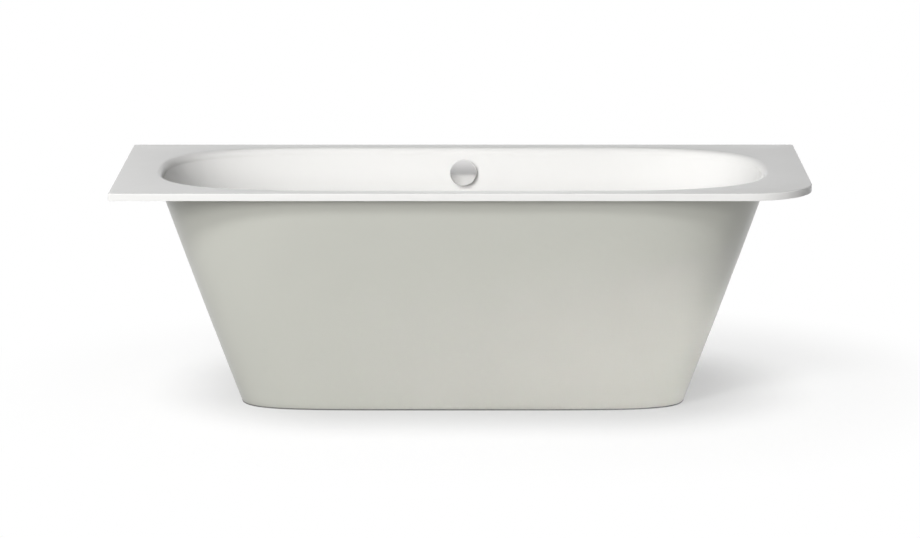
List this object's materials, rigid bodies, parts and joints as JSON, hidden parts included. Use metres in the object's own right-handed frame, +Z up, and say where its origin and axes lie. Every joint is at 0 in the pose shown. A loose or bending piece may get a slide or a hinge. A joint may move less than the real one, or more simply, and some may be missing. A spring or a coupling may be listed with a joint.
{
  "type": "built-in bathtub",
  "caption": "Built-in bathtub with an oval basin in a flat rim, a tapered panel open to the wall at the back, and a rotary overflow knob that lifts the waste plug.",
  "frame": {"origin": "on the floor, under the middle of the rim's outline", "axes": "+X along the tub to the right end seen from the front, +Y to the back wall, +Z up"},
  "size_m": [1.8, 0.8, 0.59],
  "materials": {
    "enamel": "gloss white enamel on steel",
    "panel_lacquer": "satin grey lacquer on moulded panel",
    "rubber_grey": "soft seal",
    "steel": "zinc plated",
    "rubber_black": "black rubber",
    "foot_plastic": "moulded nylon",
    "bitumen": "bituminous mat",
    "chrome": "polished chrome",
    "plastic_dark": "moulded polypropylene",
    "cable_black": "sheath",
    "plastic_light": "moulded polypropylene"
  },
  "bodies": {
    "tub": {"tub_shell": "enamel", "front_panel": "panel_lacquer", "panel_floor_seal": "rubber_grey", "panel_top_tape": "rubber_grey", "panel_bracket_left": "steel", "panel_bracket_right": "steel", "panel_screws": "steel", "wing_brackets": "steel", "foot_rail_left": "steel", "foot_rail_right": "steel", "rail_glue_pads": "rubber_black", "rail_nuts": "steel", "lock_nuts": "steel", "wall_anchors_back": "steel", "wall_anchor_left": "steel", "anchor_profiles": "rubber_black", "earthing_lug": "steel", "earthing_bolt": "steel", "sound_pads": "bitumen", "waste_flange": "chrome", "cup_gasket": "rubber_black", "clamp_gasket": "rubber_black", "waste_body": "plastic_dark", "trap_union_nut": "plastic_dark", "trap_gasket": "rubber_black", "trap_bowl": "plastic_dark", "outlet_elbow": "plastic_dark", "outlet_nut": "plastic_dark", "outlet_gasket": "rubber_black", "overflow_body": "plastic_dark", "overflow_gasket": "rubber_black", "overflow_rosette": "chrome", "overflow_screws": "steel", "control_cable": "cable_black", "cable_glands": "steel", "overflow_pipe": "plastic_light", "pipe_nuts": "plastic_dark"},
    "control": {"overflow_knob": "chrome", "overflow_spindle": "steel"},
    "rack": {"control_rack": "steel"},
    "wire_end": {"cable_end": "steel"},
    "lever": {"lifter": "steel"},
    "stopper": {"plug": "chrome", "plug_seal": "rubber_black"},
    "foot_front_left": {"foot_spindle_front_left": "steel", "foot_plate_front_left": "foot_plastic"},
    "foot_front_right": {"foot_spindle_front_right": "steel", "foot_plate_front_right": "foot_plastic"},
    "foot_back_left": {"foot_spindle_back_left": "steel", "foot_plate_back_left": "foot_plastic"},
    "foot_back_right": {"foot_spindle_back_right": "steel", "foot_plate_back_right": "foot_plastic"}
  },
  "joints": [
    {"name": "knob_turn", "type": "hinge", "parent": "tub", "child": "control", "pos_m": [0, 0.33256, 0.523], "axis": [0, -0.9877, 0.1564], "range_deg": [0, 110]},
    {"name": "rack_slide", "type": "slide", "parent": "tub", "child": "rack", "axis": [0, -0.1564, -0.9877], "range_m": [0, 0.0144]},
    {"name": "wire_slide", "type": "slide", "parent": "tub", "child": "wire_end", "axis": [0, -1, 0], "range_m": [0, 0.0144]},
    {"name": "lever_turn", "type": "hinge", "parent": "tub", "child": "lever", "pos_m": [0, 0.018, 0.08], "axis": [-1, 0, 0], "range_deg": [0, 42.34]},
    {"name": "plug_lift", "type": "slide", "parent": "tub", "child": "stopper", "axis": [0, 0, 1], "range_m": [0, 0.013]},
    {"name": "foot_front_left_adjust", "type": "slide", "parent": "tub", "child": "foot_front_left", "axis": [0, 0, 1], "range_m": [-0.02, 0.005]},
    {"name": "foot_front_right_adjust", "type": "slide", "parent": "tub", "child": "foot_front_right", "axis": [0, 0, 1], "range_m": [-0.02, 0.005]},
    {"name": "foot_back_left_adjust", "type": "slide", "parent": "tub", "child": "foot_back_left", "axis": [0, 0, 1], "range_m": [-0.02, 0.005]},
    {"name": "foot_back_right_adjust", "type": "slide", "parent": "tub", "child": "foot_back_right", "axis": [0, 0, 1], "range_m": [-0.02, 0.005]}
  ],
  "couplings": [
    {"joint": "rack_slide", "follows": "knob_turn", "m_per_rad": 0.0075},
    {"joint": "wire_slide", "follows": "knob_turn", "m_per_rad": 0.0075},
    {"joint": "lever_turn", "follows": "knob_turn", "ratio": 0.38488},
    {"joint": "plug_lift", "follows": "knob_turn", "m_per_rad": 0.0067713}
  ]
}
